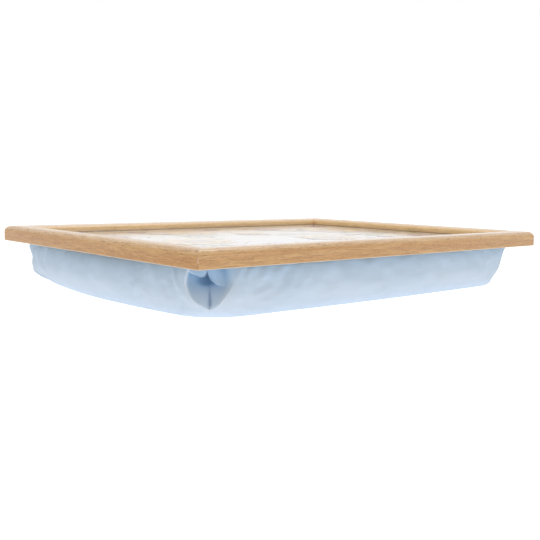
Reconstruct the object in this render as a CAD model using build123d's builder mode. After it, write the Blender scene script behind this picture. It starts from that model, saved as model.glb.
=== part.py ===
"""A lap tray: a mitred wooden frame round a printed board, on a bead-filled cloth cushion.

X runs along the tray's length, Y along its width with the front at -Y, and Z up. The origin is the
middle of the flat sole that the cushion stands on. Lengths are in millimetres.
"""

from build123d import *
import os
from math import cos, radians, sin, sqrt

# Tray frame: four lengths of one moulding
tray_length = 430.0
tray_width = 330.0
rail_width = 23.5
rail_height = 15.0
crown_inset = 10.5
crown_radius = 48.0
outer_shoulder_radius = 5.8
inner_shoulder_radius = 4.6
foot_edge_radius = 0.6
rebate_width = 5.0

# Tray board and its printed laminate
laminate_thickness = 0.3
board_thickness = 3.0
board_clearance = 0.75

# Backing board that carries the cushion
backing_recess = 0.3
backing_thickness = 2.5

# Cushion cover
cushion_depth = 42.0
cover_wall = 0.6
cover_clearance = 0.3
neck_drop = 0.8
neck_corner_radius = 4.0
belly_reach = 3.3
belly_height = 22.0
belly_corner_radius = 14.0
side_bow = 4.0
sole_draw_in = 34.0
sole_corner_radius = 36.0
sole_crown = 0.5
turn_in_width = 16.0
turn_in_slit = 1.0

# Degrees from the belly at which the cushion's rings lie: first up to the neck, then down to the sole
cover_turn_degrees = ((60, 30, 0), (18, 36, 54, 72, 90))
liner_turn_degrees = ((45, 0), (30, 60, 90))

# V-shaped tuck that draws the cover in at each corner
tuck_mouth = 25.0
tuck_depth = 15.0
tuck_lip = 3.6
tuck_roof = 2.0
tuck_foot = 8.0

# Height, mouth, depth and lip of each section of a tuck, from its roof down to its tip
tuck_section_shares = (
    (1.00, 0.56, 0.80, 0.70),
    (0.80, 0.90, 1.00, 1.00),
    (0.56, 1.00, 1.00, 1.00),
    (0.28, 0.72, 0.86, 0.80),
    (0.00, 0.20, 0.52, 0.30),
)

# Bead bag and its beads
bag_wall = 0.4
bag_clearance = 0.4
bag_corner_radius = 58.0
bead_clearance = 0.3

# V nails across the mitres, driven from below
v_nail_arm = 5.0
v_nail_thickness = 0.6
v_nail_height = 8.0
v_nail_sink = 0.3
v_nail_insets = (4.5, 12.5)

# Framer's points under the tray board, driven into the rebate wall
point_width = 5.5
point_length = 15.0
point_thickness = 0.4
point_bite = 7.0
point_taper = 4.0
long_side_point_count = 4
short_side_point_count = 3
point_end_gap = 75.0

# Staples through the cover's turned edge
staple_crown = 10.0
staple_wire_width = 0.9
staple_wire_thickness = 0.4
staple_leg = 2.2
staple_inset = 9.0
long_side_staple_count = 9
short_side_staple_count = 7
staple_end_gap = 50.0

# Glue pads between the two boards
glue_pad_radius = 12.0
glue_pad_column_count = 4
glue_pad_row_count = 3
glue_pad_end_gap = 90.0

# One overrun for every cut that has to pass through a surface
overrun = 3.0

# Levels, from the frame's underside up through the rebate
frame_bottom = cushion_depth
backing_bottom = frame_bottom + backing_recess
backing_top = backing_bottom + backing_thickness
turn_in_top = backing_top + cover_wall
staple_top = turn_in_top + staple_wire_thickness
board_bottom = staple_top + point_thickness
board_top = board_bottom + board_thickness
shelf_level = board_top + laminate_thickness
rebate_height = shelf_level - frame_bottom
neck_level = frame_bottom - neck_drop

# Insets from the tray's outer edge
rebate_inset = rail_width - rebate_width
board_inset = rebate_inset + board_clearance
cover_inset = rebate_inset + cover_clearance
backing_inset = cover_inset + cover_wall + cover_clearance
belly_inset = cover_inset - belly_reach
bag_gap = cover_wall + bag_clearance
bead_gap = bag_gap + bag_wall + bead_clearance

# Each side's middle, its length and the direction from it into the tray
sides = {
    "front": (0, -tray_width / 2, tray_length, (0, 1, 0)),
    "back": (0, tray_width / 2, tray_length, (0, -1, 0)),
    "left": (-tray_length / 2, 0, tray_width, (1, 0, 0)),
    "right": (tray_length / 2, 0, tray_width, (-1, 0, 0)),
}


def level_plane(side, level):
    """A level plane at one side's outer edge, with local x the inset from that edge."""
    x, y, _, inward = sides[side]
    return Plane(origin=(x, y, level), x_dir=inward, z_dir=(0, 0, 1))


def row_places(side, inset, long_count, short_count, end_gap):
    """Evenly spaced places along one side, at one inset, in that side's level plane."""
    length = sides[side][2]
    count = long_count if length == tray_length else short_count
    span = length - 2 * end_gap
    return [(inset, span * (place / (count - 1) - 1 / 2)) for place in range(count)]


def v_nails(bottom):
    """V nails on all four mitres, from a given level up to the level of their tops."""
    arm, wire = v_nail_arm, v_nail_thickness
    outline = ((0, 0), (arm, 0), (arm, wire), (wire, wire), (wire, arm), (0, arm))
    top = frame_bottom + v_nail_sink + v_nail_height
    with BuildPart() as nails:
        with BuildSketch(Plane.XY.offset(bottom)):
            with Locations(*[(u - tray_length / 2, u - tray_width / 2) for u in v_nail_insets]):
                Polygon(*outline)
        extrude(amount=top - bottom)
        mirror(about=Plane.YZ)
        mirror(about=Plane.XZ)
    return nails


def tapered_points():
    """Thin pointed tabs, half in the rebate wall and half under the tray board."""
    half_width = point_width / 2
    shoulder = point_length - point_taper
    outline = (
        (0, -half_width),
        (0, half_width),
        (-shoulder, half_width),
        (-point_length, 0),
        (-shoulder, -half_width),
    )
    counts = (long_side_point_count, short_side_point_count)
    inner_end = rebate_inset - point_bite + point_length
    with BuildPart() as points:
        for side in sides:
            with BuildSketch(level_plane(side, board_bottom - point_thickness)):
                with Locations(*row_places(side, inner_end, *counts, point_end_gap)):
                    Polygon(*outline)
            extrude(amount=point_thickness)
    return points


def crown_height(inset):
    """Height of the moulding's crowned top, an arc whose highest point is the rail's height."""
    return rail_height - crown_radius + sqrt(crown_radius**2 - (inset - crown_inset) ** 2)


def mitred_rail(side, nail_pockets, point_pockets):
    """One length of moulding: its profile run along the side and cut at 45 degrees at both ends."""
    x, y, length, inward = sides[side]
    inward = Vector(inward)
    along = inward.cross(Vector(0, 0, 1))
    profile_plane = Plane(origin=(x, y, frame_bottom), x_dir=inward, z_dir=along)
    outer_shoulder = (0, crown_height(0))
    inner_shoulder = (rail_width, crown_height(rail_width))
    with BuildPart() as rail:
        with BuildSketch(profile_plane) as profile:
            with BuildLine():
                ThreePointArc(outer_shoulder, (crown_inset, rail_height), inner_shoulder)
                Polyline(
                    inner_shoulder,
                    (rail_width, rebate_height),
                    (rebate_inset, rebate_height),
                    (rebate_inset, 0),
                    (0, 0),
                    outer_shoulder,
                )
            make_face()
            lip_corners = profile.vertices().group_by(Axis.X)[-1]
            fillet(lip_corners.sort_by(Axis.Y)[-1], inner_shoulder_radius)
            outer_corners = profile.vertices().group_by(Axis.X)[0]
            fillet(outer_corners.sort_by(Axis.Y)[-1], outer_shoulder_radius)
            outer_corners = profile.vertices().group_by(Axis.X)[0]
            fillet(outer_corners.sort_by(Axis.Y)[0], foot_edge_radius)
        extrude(amount=length / 2, both=True)
        for end in (along, -along):
            corner = profile_plane.origin + end * (length / 2)
            split(bisect_by=Plane(origin=corner, z_dir=inward + end), keep=Keep.BOTTOM)
        add(nail_pockets.part, mode=Mode.SUBTRACT)
        add(point_pockets.part, mode=Mode.SUBTRACT)
    return rail


def bowed_ring(level, inset, bow, corner_radius):
    """A level face of the cushion: sides bowed outwards between rounded corners."""
    half_length = tray_length / 2 - inset
    half_width = tray_width / 2 - inset
    corners = (
        (-half_length, -half_width),
        (half_length, -half_width),
        (half_length, half_width),
        (-half_length, half_width),
    )
    with BuildSketch(Plane.XY.offset(level)) as ring:
        with BuildLine():
            for start, end in zip(corners, corners[1:] + corners[:1]):
                if bow:
                    SagittaArc(start, end, -bow)
                else:
                    Line(start, end)
        make_face()
        fillet(ring.vertices(), corner_radius)
    return ring.sketch


def cushion_form(gap, top, turns, corner_radius=0):
    """The cushion's body, a gap inside the cover's outer face, and its neck up to a given level.

    In section a side is two quarter ellipses that meet at the belly. The upper one leans out from
    the neck, and the lower one rolls under to a slightly crowned sole, which is cut flat. The bow
    and the corners grow towards the sole, unless one corner radius is given for every ring.
    """
    turns_to_neck, turns_to_sole = turns
    neck_rise = neck_level - belly_height
    sole_fall = belly_height + sole_crown - gap
    rings = [bowed_ring(neck_level, cover_inset + gap, 0, corner_radius or neck_corner_radius)]
    for turn in turns_to_neck:
        share = 1 - cos(radians(turn))
        inset = belly_inset + gap + share * belly_reach
        level = belly_height + neck_rise * sin(radians(turn))
        radius = belly_corner_radius - share * (belly_corner_radius - neck_corner_radius)
        rings.append(bowed_ring(level, inset, (1 - share) * side_bow, corner_radius or radius))
    for turn in turns_to_sole:
        share = 1 - cos(radians(turn))
        inset = belly_inset + gap + share * sole_draw_in
        level = belly_height - sole_fall * sin(radians(turn))
        radius = belly_corner_radius + share * (sole_corner_radius - belly_corner_radius)
        rings.append(bowed_ring(level, inset, side_bow, corner_radius or radius))
    with BuildPart() as form:
        loft(rings, ruled=True)
        split(bisect_by=Plane.XY.offset(gap), keep=Keep.TOP)
        extrude(rings[0], amount=top - neck_level)
    return form


def corner_tucks(growth):
    """The hollows of the four tucks, each a cusp between two rounded lips that closes to a tip.

    The growth moves every wall of a hollow that far into the cushion.
    """
    roof = neck_level - tuck_roof + growth
    tip = tuck_foot - growth
    corner_x = belly_inset - tray_length / 2
    corner_y = belly_inset - tray_width / 2
    with BuildPart() as tucks:
        for height, mouth, depth, lip in tuck_section_shares:
            mouth_reach = mouth * tuck_mouth + growth
            slit_reach = depth * tuck_depth + growth
            outside = (corner_x - overrun, corner_y - overrun)
            front_lip = (corner_x + mouth_reach, corner_y - overrun)
            side_lip = (corner_x - overrun, corner_y + mouth_reach)
            slit = (corner_x + slit_reach, corner_y + slit_reach)
            with BuildSketch(Plane.XY.offset(tip + height * (roof - tip))):
                with BuildLine():
                    Line(outside, front_lip)
                    SagittaArc(front_lip, slit, lip * tuck_lip)
                    SagittaArc(slit, side_lip, lip * tuck_lip)
                    Line(side_lip, outside)
                make_face()
        loft(ruled=True)
        mirror(about=Plane.YZ)
        mirror(about=Plane.XZ)
    return tucks


# Fasteners of the frame
mitre_v_nails = v_nails(frame_bottom + v_nail_sink)
v_nail_pockets = v_nails(frame_bottom - overrun)
framers_points = tapered_points()

# Frame rails
frame_rails = {side: mitred_rail(side, v_nail_pockets, framers_points) for side in sides}

# Tray board
with BuildPart() as tray_board:
    with BuildSketch(Plane.XY.offset(board_bottom)):
        Rectangle(tray_length - 2 * board_inset, tray_width - 2 * board_inset)
    extrude(amount=board_thickness)

# Printed laminate, a thin sheet bonded to the board's whole top
with BuildPart() as print_laminate:
    with BuildSketch(Plane.XY.offset(board_top)):
        Rectangle(tray_length - 2 * board_inset, tray_width - 2 * board_inset)
    extrude(amount=laminate_thickness)

# Staples: a flat crown on the turned edge and two legs into the backing board
with BuildPart() as cover_staples:
    staple_counts = (long_side_staple_count, short_side_staple_count)
    leg_reach = (staple_crown - staple_wire_thickness) / 2
    for side in sides:
        places = row_places(side, backing_inset + staple_inset, *staple_counts, staple_end_gap)
        with BuildSketch(level_plane(side, turn_in_top)):
            with Locations(*places):
                Rectangle(staple_wire_width, staple_crown)
        extrude(amount=staple_wire_thickness)
        with BuildSketch(level_plane(side, turn_in_top)):
            for inset, place in places:
                with Locations((inset, place - leg_reach), (inset, place + leg_reach)):
                    Rectangle(staple_wire_width, staple_wire_thickness)
        extrude(amount=-staple_leg)

# Backing board, with the holes that the staples cut
with BuildPart() as backing_board:
    with BuildSketch(Plane.XY.offset(backing_bottom)):
        RectangleRounded(
            tray_length - 2 * backing_inset,
            tray_width - 2 * backing_inset,
            neck_corner_radius - (backing_inset - cover_inset),
        )
    extrude(amount=backing_thickness)
    add(cover_staples.part, mode=Mode.SUBTRACT)

# Glue pads, as thick as the space between the boards
with BuildPart() as glue_pads:
    pad_pitch_x = (tray_length - 2 * glue_pad_end_gap) / (glue_pad_column_count - 1)
    pad_pitch_y = (tray_width - 2 * glue_pad_end_gap) / (glue_pad_row_count - 1)
    with BuildSketch(Plane.XY.offset(backing_top)):
        with GridLocations(pad_pitch_x, pad_pitch_y, glue_pad_column_count, glue_pad_row_count):
            Circle(glue_pad_radius)
    extrude(amount=board_bottom - backing_top)

# The cover's outer body and the room inside it, both drawn in at the corners
cover_outer_form = cushion_form(0, turn_in_top, cover_turn_degrees)
cover_room_form = cushion_form(cover_wall, turn_in_top + overrun, cover_turn_degrees)
outer_tucks = corner_tucks(0)
room_tucks = corner_tucks(cover_wall)

with BuildPart() as cover_room:
    add(cover_room_form.part)
    add(room_tucks.part, mode=Mode.SUBTRACT)

# Cushion cover: a thin shell with a collar, turned in over the backing board in four flaps
with BuildPart() as cushion_cover:
    add(cover_outer_form.part)
    add(outer_tucks.part, mode=Mode.SUBTRACT)
    add(cover_room.part, mode=Mode.SUBTRACT)
    flap_inset = cover_inset + cover_wall + turn_in_width
    slit_x = tray_length - 2 * (cover_inset + turn_in_width)
    slit_y = tray_width - 2 * (cover_inset + turn_in_width)
    with BuildSketch(Plane.XY.offset(backing_top)):
        RectangleRounded(
            tray_length - 2 * cover_inset, tray_width - 2 * cover_inset, neck_corner_radius
        )
        Rectangle(
            tray_length - 2 * flap_inset, tray_width - 2 * flap_inset, mode=Mode.SUBTRACT
        )
        for x, y, angle in ((1, 1, 45), (-1, -1, 45), (1, -1, -45), (-1, 1, -45)):
            with Locations(Location((x * slit_x / 2, y * slit_y / 2), angle)):
                Rectangle(turn_in_width, turn_in_slit, mode=Mode.SUBTRACT)
    extrude(amount=cover_wall)
    add(cover_staples.part, mode=Mode.SUBTRACT)

# Bead bag: a plain liner with round corners that stay clear of the cover's tucks
bag_top = backing_bottom - cover_clearance
bag_outer_form = cushion_form(bag_gap, bag_top, liner_turn_degrees, bag_corner_radius)
bag_room_form = cushion_form(
    bag_gap + bag_wall, bag_top - bag_wall, liner_turn_degrees, bag_corner_radius - bag_wall
)

with BuildPart() as bead_bag:
    add(bag_outer_form.part)
    add(bag_room_form.part, mode=Mode.SUBTRACT)

# Bead fill, one solid for the loose beads
bead_fill = cushion_form(
    bead_gap,
    bag_top - bag_wall - bead_clearance,
    liner_turn_degrees,
    bag_corner_radius - bag_wall - bead_clearance,
)

pieces = {
    "frame_rail_front": frame_rails["front"],
    "frame_rail_back": frame_rails["back"],
    "frame_rail_left": frame_rails["left"],
    "frame_rail_right": frame_rails["right"],
    "mitre_v_nails": mitre_v_nails,
    "framers_points": framers_points,
    "tray_board": tray_board,
    "print_laminate": print_laminate,
    "glue_pads": glue_pads,
    "backing_board": backing_board,
    "cover_staples": cover_staples,
    "cushion_cover": cushion_cover,
    "bead_bag": bead_bag,
    "bead_fill": bead_fill,
}

os.makedirs("parts", exist_ok=True)
for node, piece in pieces.items():
    piece.part.label = node
    export_step(piece.part, f"parts/{node}.step")
    print(f"{node}: {len(piece.part.solids())} solid(s), {piece.part.volume:.0f} mm3")
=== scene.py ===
"""The looks of a lap tray: a mitred beech frame round a printed board, on a bead-filled cushion.

Lengths are in metres, in the frame of the CAD model: X along the tray, Y across it with the front
at -Y, Z up, and the origin in the middle of the sole that the cushion stands on.
"""

from math import cos, pi, radians, sin

import bpy
import numpy as np
from mathutils import Matrix, Vector


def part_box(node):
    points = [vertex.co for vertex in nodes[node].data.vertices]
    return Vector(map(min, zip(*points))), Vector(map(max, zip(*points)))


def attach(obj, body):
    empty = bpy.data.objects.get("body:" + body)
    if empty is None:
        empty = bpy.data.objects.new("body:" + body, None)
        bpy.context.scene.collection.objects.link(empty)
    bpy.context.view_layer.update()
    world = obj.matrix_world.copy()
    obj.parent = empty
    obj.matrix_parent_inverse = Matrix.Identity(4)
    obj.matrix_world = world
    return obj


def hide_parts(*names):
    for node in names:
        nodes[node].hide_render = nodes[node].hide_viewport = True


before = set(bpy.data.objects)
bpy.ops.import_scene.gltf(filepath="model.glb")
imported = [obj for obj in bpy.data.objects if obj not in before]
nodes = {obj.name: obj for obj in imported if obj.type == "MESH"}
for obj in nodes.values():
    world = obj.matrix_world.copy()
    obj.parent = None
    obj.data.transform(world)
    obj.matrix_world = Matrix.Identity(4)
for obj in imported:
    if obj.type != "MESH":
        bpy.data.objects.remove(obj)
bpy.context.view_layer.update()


def colour(red, green, blue):
    """A linear colour from a screen's 0 to 255 values."""
    screen = np.array((red, green, blue)) / 255
    linear = np.where(screen <= 0.04045, screen / 12.92, ((screen + 0.055) / 1.055) ** 2.4)
    return (*linear.tolist(), 1.0)


# The tray's own sizes, read from the frame
front_low, front_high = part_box("frame_rail_front")
half_length = front_high.x
half_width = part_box("frame_rail_back")[1].y
rail_width = front_high.y - front_low.y
frame_bottom = front_low.z
frame_top = front_high.z
laminate_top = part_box("print_laminate")[1].z
backing_half_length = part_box("backing_board")[1].x
backing_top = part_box("backing_board")[1].z

# Photograph's camera, worked out from the lower of its two views
photo_pixels = 540
focal_pixels = 800.2
sensor_width = 36.0
camera_place = (-0.5385, -0.6137, 0.104)
camera_yaw = radians(40.98)
camera_pitch = radians(-6.28)
camera_roll = radians(0.86)

# Beech rails: depths below the crown between which its painted highlight ends, its painted outer
# shade sets in, and
#  the side's patterns take over from the top's
crown_highlight_depths = (0.0012, 0.0052)
outer_shade_depths = (0.0044, 0.0088)
topside_depths = (0.0045, 0.0070)

# Distances from a rail's inner edge between which the painted warm light on its shoulder ends, its
#  grain opens and the painted shadow of its seat against the board ends, and heights over which
#  that painted shadow, the painted highlight on the arris and the raw underside end
shoulder_light_reaches = (0.0022, 0.0066)
grain_reaches = (0.0030, 0.0080)
seat_shadow_reaches = (0.0022, 0.0040)
seat_shadow_heights = (0.0002, 0.0009)
arris_highlight_heights = (0.0003, 0.0010)
raw_heights = (0.0001, 0.0003)
joint_widths = (0.00012, 0.00042)

# Beech patterns: their sizes along and across the grain, or along X, Y and Z, and the values
# between which each comes in
band_size, band_range = (0.13, 0.0055), (0.34, 0.66)
streak_size, streak_range = (0.020, 0.0009), (0.38, 0.64)
long_fleck_size, long_fleck_range = (0.0120, 0.0016), (0.10, 0.38)
short_fleck_size, short_fleck_range = (0.0056, 0.0009), (0.10, 0.42)
cluster_size, cluster_range = (0.020, 0.004), (0.34, 0.56)
filler_size, filler_range = (0.003, 0.003, 0.0026), (0.40, 0.48)
fibre_size = (0.006, 0.0003)

# Beech tones in the order they are laid over each other, and how strongly each shows. Streaks,
# long flecks and joints have one value for a rail's side and another for its top
band_tones = colour(214, 167, 104), colour(202, 150, 84)
# Painted highlight on the crown
crown_highlight_tone, crown_highlight_strength = colour(253, 224, 182), 0.55
# Painted shade on a rail's outer side
outer_shade_tone = colour(192, 134, 68)
# Painted warm light on the inner shoulder
shoulder_light_tone, shoulder_light_strength = colour(255, 216, 158), 0.75
streak_tones, streak_strength = (colour(158, 102, 46), colour(186, 132, 72)), 0.56
long_fleck_shares = (0.35, 0.65)
fleck_tone, fleck_strength = colour(138, 88, 42), 0.68
# Painted highlight along the lower arris
arris_highlight_tone, arris_highlight_strength = colour(236, 214, 184), 0.55
# Painted shadow along the seat against the board
seat_shadow_tone, seat_shadow_strength = colour(84, 62, 44), 0.7
filler_tones = colour(128, 92, 58), colour(232, 222, 205)
glue_tone, joint_shares = colour(148, 106, 66), (0.75, 0.35)
raw_tone, raw_strength = colour(222, 208, 188), 0.8

# Cloth tones of its painted cool shade, its deepest painted shade in a tuck, and its painted
#  highlight, which also makes it paler towards the sole, how strongly each shows, and how long a
#  thick place in a thread is
# Painted cool shade towards the frame and in a tuck
cool_shade_tone, cool_shade_strength = colour(174, 210, 243), 0.48
# Painted shade in a tuck and under the frame, and its deepest painted shade
painted_shade_strength = 0.75
deepest_shade_tone, deepest_shade_range, deepest_shade_strength = colour(82, 118, 156), (0.9, 2.0), 0.7
# Painted highlight on ridges and fold rims; the same tone makes the cloth paler towards the sole
pale_highlight_tone, pale_highlight_strength = colour(221, 233, 249), 0.80
slub_length = 0.05

# Cushion cover
cover_wall = 0.0006
cover_clearance = 0.0003
turn_in_width = 0.016
turn_in_fold = 0.0012
neck_drop = 0.0008
neck_corner_radius = 0.004
belly_reach = 0.0033
belly_level = 0.022
belly_corner_radius = 0.014
sole_draw_in = 0.014
last_ring_radius = 0.004

# How far the middle of each side bows out, across X (left, right) and across Y (front, back)
side_bows = np.array(((0.0090, 0.0050), (0.0042, 0.0042)))

# Cushion grid: columns crowd towards the corners, where the tucks are
half_side_columns = 104
column_crowding = 2.8
flap_rows = 6
fold_rows = 4
collar_rows = 4
upper_rows = 48
lower_rows = 37
sole_rows = 8
side_rows = slice(flap_rows + fold_rows - 1 + collar_rows, -(sole_rows - 1))

# Cloth simulation of the sides: its grid, how much too large the cloth is cut, how near a lip it
# is held, its limits and its settings
cloth_columns = 48
cloth_row_step = 3
cloth_excess = 0.025
cloth_free_reaches = (0.003, 0.016)
cloth_held_share = 0.5
cloth_fold_share = 0.8
cloth_frames = 20
cloth_limit = 0.006
cloth_swell_columns = 12
cloth_settings = {
    "quality": 6,
    "mass": 0.15,
    "tension_stiffness": 12,
    "compression_stiffness": 12,
    "shear_stiffness": 4,
    "bending_stiffness": 0.08,
    "use_pressure": True,
    "uniform_pressure_force": 3.0,
    "shrink_min": -cloth_excess,
}

# Corners, anticlockwise from the front right: the axis of the side that leads to each, and its
# radius and draw-in at the sole
corner_signs = np.array(((1, -1), (1, 1), (-1, 1), (-1, -1)))
sides_before = np.array((0, 1, 0, 1))
sole_corner_radii = np.array((0.006, 0.024, 0.038, 0.033))
corner_draw_ins = np.array((0.0145, 0.018, 0.0185, 0.0145))

# The corner nearest to the camera, whose tuck has the small folds
near_corner = 3

# Corner tucks, by millimetres below the frame: how far the left and right lips lie from the
# corner, how deep the slit between them lies, how far it wanders, and how soft the lips are
tuck_depths = (0, 6, 12, 18, 24, 29, 33, 38)
table_rounding = 5.0
left_lips = (
    (2, 11, 16, 19, 22, 23, 21, 13),
    (15, 20, 22, 18, 13, 7, 1, 0),
    (2, 5, 12, 15, 14, 10, 6, 1),
    (14.5, 16, 17, 14.5, 10, 4, -2, -3),
)
right_lips = (
    (1, 10, 17, 22, 26, 28, 25, 14),
    (13, 16, 19, 15, 10, 4, -1, -1),
    (0.5, 1.5, 8, 12.5, 14, 11, 7, 2),
    (20, 24, 26.5, 22.5, 16.5, 11, 6, 5),
)
slit_insets = (
    (0.5, 7, 11, 13, 14, 14, 9, 2),
    (8, 15, 17, 16, 12, 6, 0, 0),
    (1.5, 1.5, 10, 13, 12, 8, 3, 0),
    (13, 18, 20, 18, 14, 8, 0.5, 0),
)
slit_wanders = (
    (0, -1, -2, -1, 0, 1, 1, 1),
    (0, 0.5, -1.5, 0.5, 0, -1, -1, -1),
    (0, 1, 0, -1, 0, 1, 1, 1),
    (0, 0.6, 1.2, 1.8, 2.6, 2.8, 2.6, 2.2),
)
left_softnesses = (1.2, 0.9, 0.8, 0.8, 0.8, 0.8, 1.0, 1.6)
right_softnesses = (6.0, 5.0, 3.0, 1.4, 0.8, 0.7, 0.8, 1.6)
widest_bend = 0.25
narrowest_lip = 0.001
wander_reach = 0.03
sole_closing_shares = (0.6, 1.0)
drawn_inset = 0.003

# How much each lip stands up as a ridge, and how strongly the ridge's painted highlight shows
left_ridges = (0.4, 0.8, 1.0, 1.0, 0.9, 0.8, 0.8, 0.2)
right_ridges = (0.0, 0.0, 0.3, 0.9, 1.3, 1.3, 1.0, 0.3)
ridge_height = 0.0005
ridge_width = 0.0009

# Where the cloth carries painted shade in a tuck and under the frame, and painted cool shade, and
# where it is paler towards the sole
tuck_shade_openings = (0.84, 0.62)
deep_insets = (0.001, 0.008)
tuck_shade_depths = (0.011, 0.029)
# Painted shade under the frame
eaves_shade_depth = 0.014
eaves_shade_share = 0.45
cool_shade_low = 0.010
tuck_cool_shade_share = 0.6
pale_sole_height = 0.010
pale_sole_share = 0.4

# The narrow groove behind a slit, by depth, and the two small folds that hang over the near tuck
groove_depths = (0, 0, 0, 0.3, 1.6, 2.3, 0.5, 0)
groove_widths = (1, 1, 0.8, 0.7, 0.9, 1.6, 1.2, 1)
left_fold_places = (0, 0.06, 0.14, 0.25, 0.37, 0.53, 0.74, 0.93, 1)
left_fold_drops = (5.0, 6.6, 8.4, 8.9, 8.8, 7.4, 6.0, 4.4, 2.0)
right_fold_places = (0, 0.03, 0.07, 0.13, 0.32, 0.5, 1)
right_fold_drops = (3.0, 7.8, 10.2, 12.2, 14.6, 15.2, 15.5)
fold_reaches = (0.42, 0.34)
tongue_end_shares = (0.3, 0.7)
fold_edge_depths = (-0.0005, 0.0006)
fold_rim_width = 0.0005
fold_rim_strength = 1.6

# Shade under the small folds: its depth, its place across, how far it spreads, and its strength
fold_shade_depth = 0.0125
fold_shade_place = -0.10
fold_shade_spreads = (0.004, 0.32)
fold_shade_strength = 1.5
groove_shade_strength = 250

# Long creases drawn to the corners: the corner's number, the side before it or after it,
# millimetres from the corner and below the frame at each end, and the crease's height and width
crease_fades = (0.004, 0.012)
crease_taper_shares = (0.15, 0.8)
creases = (
    (3, "before", (34, 3), (21, 21), 1.3, 2.4),
    (3, "before", (62, 4), (38, 26), 1.0, 5.0),
    (3, "before", (98, 5), (70, 28), 1.1, 8.0),
    (3, "before", (140, 4), (104, 32), 1.3, 11.0),
    (3, "before", (186, 4), (150, 30), 1.1, 10.0),
    (3, "after", (34, 1), (24, 15), 1.1, 2.6),
    (3, "after", (45, 1), (36, 13), 1.3, 3.0),
    (3, "after", (60, 1), (51, 14), 1.3, 3.4),
    (3, "after", (75, 1), (62, 17), 1.1, 3.8),
    (3, "after", (92, 2), (72, 26), 1.3, 4.2),
    (3, "after", (106, 4), (84, 27), 1.2, 4.5),
    (3, "after", (124, 3), (100, 24), 1.0, 5.5),
    (2, "after", (2, 2), (4, 8), 1.4, 4.0),
    (2, "after", (8, 25), (20, 38), 1.4, 3.2),
    (2, "after", (30, 1), (27, 14), 0.9, 3.4),
    (2, "after", (52, 2), (50, 18), 0.9, 4.4),
    (2, "after", (92, 3), (100, 26), 0.9, 8.0),
    (2, "before", (24, 2), (18, 18), 1.0, 3.0),
    (2, "before", (48, 2), (36, 24), 1.1, 4.5),
    (2, "before", (96, 3), (70, 28), 1.0, 8.0),
    (1, "before", (30, 2), (20, 20), 1.1, 3.0),
    (1, "before", (55, 2), (42, 18), 1.0, 4.0),
    (1, "after", (28, 1), (20, 16), 1.1, 2.8),
    (1, "after", (46, 2), (34, 24), 1.1, 4.0),
    (1, "after", (110, 3), (84, 28), 1.1, 9.0),
    (0, "before", (34, 2), (28, 18), 0.7, 4.0),
    (0, "before", (88, 3), (74, 26), 0.7, 8.0),
    (0, "after", (38, 1), (26, 20), 1.1, 3.2),
    (0, "after", (62, 2), (46, 24), 1.1, 5.0),
)

# Bead bag and bead heap
bead_size = 0.0032
bag_corner_radius = 0.072
bag_sole_draw_in = 0.022
pillow_column_step = 4
pillow_flat_rings = 8
pillow_upper_rings = 10
pillow_lower_rings = 14
pillow_lump = 0.0004
pillow_lump_turns = (170, 190, 120)
liner_width = 1.4

# Print on the board: the heights of its layers of paint, and how fine and full its petals are
print_seed = 11
any_turn = (0, 6)
first_layer_height = 0.00005
layer_height = 0.00001
patch_height = 0.0000004
petal_grid = (13, 7)
petal_fullness = 0.8

# Sprays, in millimetres and radians, with a leaf's width and bend in shares of its length, and a
# bud's length, width and bend
stem_rows = 33
stem_width = 2.0
stem_layer, leaf_layer, bud_layer = 2, 2.4, 3.0
leaf_turns = (0.5, 0.8)
leaf_lengths = (19, 30)
leaf_width = 0.30
leaf_bend = 0.18
bud_shape = (9, 5.0, 1.0)

# Dark lashes round a golden bloom's heart, in shares of the bloom's size
lash_count = 26
lash_reaches = (0.26, 0.40)
lash_lengths = (0.07, 0.2)
lash_width = 0.05
lash_layer, heart_layer = 6.2, 7

# Splashes: their sizes, the field they lie in, and the shares of golden, orange and violet ones
splash_count = 150
least_splash, mean_splash_growth, largest_splash = 0.5, 1.1, 5.5
splash_stretches = (1, 1.7)
splash_corners = ((-184, -134), (184, 134))
splash_shares = (0.5, 0.32, 0.18)
splash_layer = 3.2

# Blooms: each one's place and size, in millimetres from the board's middle. A kind of bloom has
# a pale wash (its shift along X and Y, size, stretch and layer), rings of petals (each ring's
# layer, number and share of the size) and a heart (its size, stretch, fineness and waviness)
golden_blooms = ((-116, -26, 41), (-58, 66, 31), (36, -42, 37), (122, 44, 42), (-2, 34, 21))
violet_blooms = (
    (-150, 64, 17), (-66, -84, 15), (-96, 108, 11), (62, 84, 17), (84, -88, 14), (152, -66, 18),
    (-166, -98, 12), (2, 112, 12), (166, 108, 13), (-14, -112, 10),
)
wash_detail = 13
golden_bloom = {
    "wash": (6, -5, 1.05, 1.2, 0),
    "rings": ((4, 11, 1.0), (5, 9, 0.78)),
    "ring_turn": 1,
    "lengths": (0.74, 0.86),
    "widths": (0.34, 0.44),
    "unevenness": 0.18,
    "bend": 0.12,
    "foot": 0.17,
    "layer_step": 0.06,
    "heart": (0.29, 1.05, 13, 0.4),
}
violet_bloom = {
    "wash": (-3, 2, 1.1, 1.1, 1),
    "rings": ((4, 14, 1.0), (5, 11, 0.72)),
    "ring_turn": 0,
    "lengths": (0.75, 0.95),
    "widths": (0.24, 0.32),
    "unevenness": 0.2,
    "bend": 0.1,
    "foot": 0.12,
    "layer_step": 0.05,
    "heart": (0.19, 1.0, 9, 0.5),
}

# Stems: each one's start, control place, end and number of leaves
stems = (
    ((-190, -128), (-150, -90), (-122, -50), 3),
    ((-190, -128), (-90, -60), (-60, 46), 6),
    ((-190, -128), (-186, 0), (-152, 52), 4),
    ((-190, -128), (-120, -132), (-68, -92), 3),
    ((-90, 0), (-84, 60), (-95, 100), 2),
    ((190, -20), (160, 6), (134, 22), 2),
    ((190, -20), (110, -20), (54, -40), 4),
    ((190, -20), (176, -50), (156, -60), 1),
    ((190, -20), (90, 10), (64, 74), 4),
    ((118, -18), (100, -50), (86, -80), 2),
    ((92, -22), (40, -2), (8, 26), 2),
)

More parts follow.
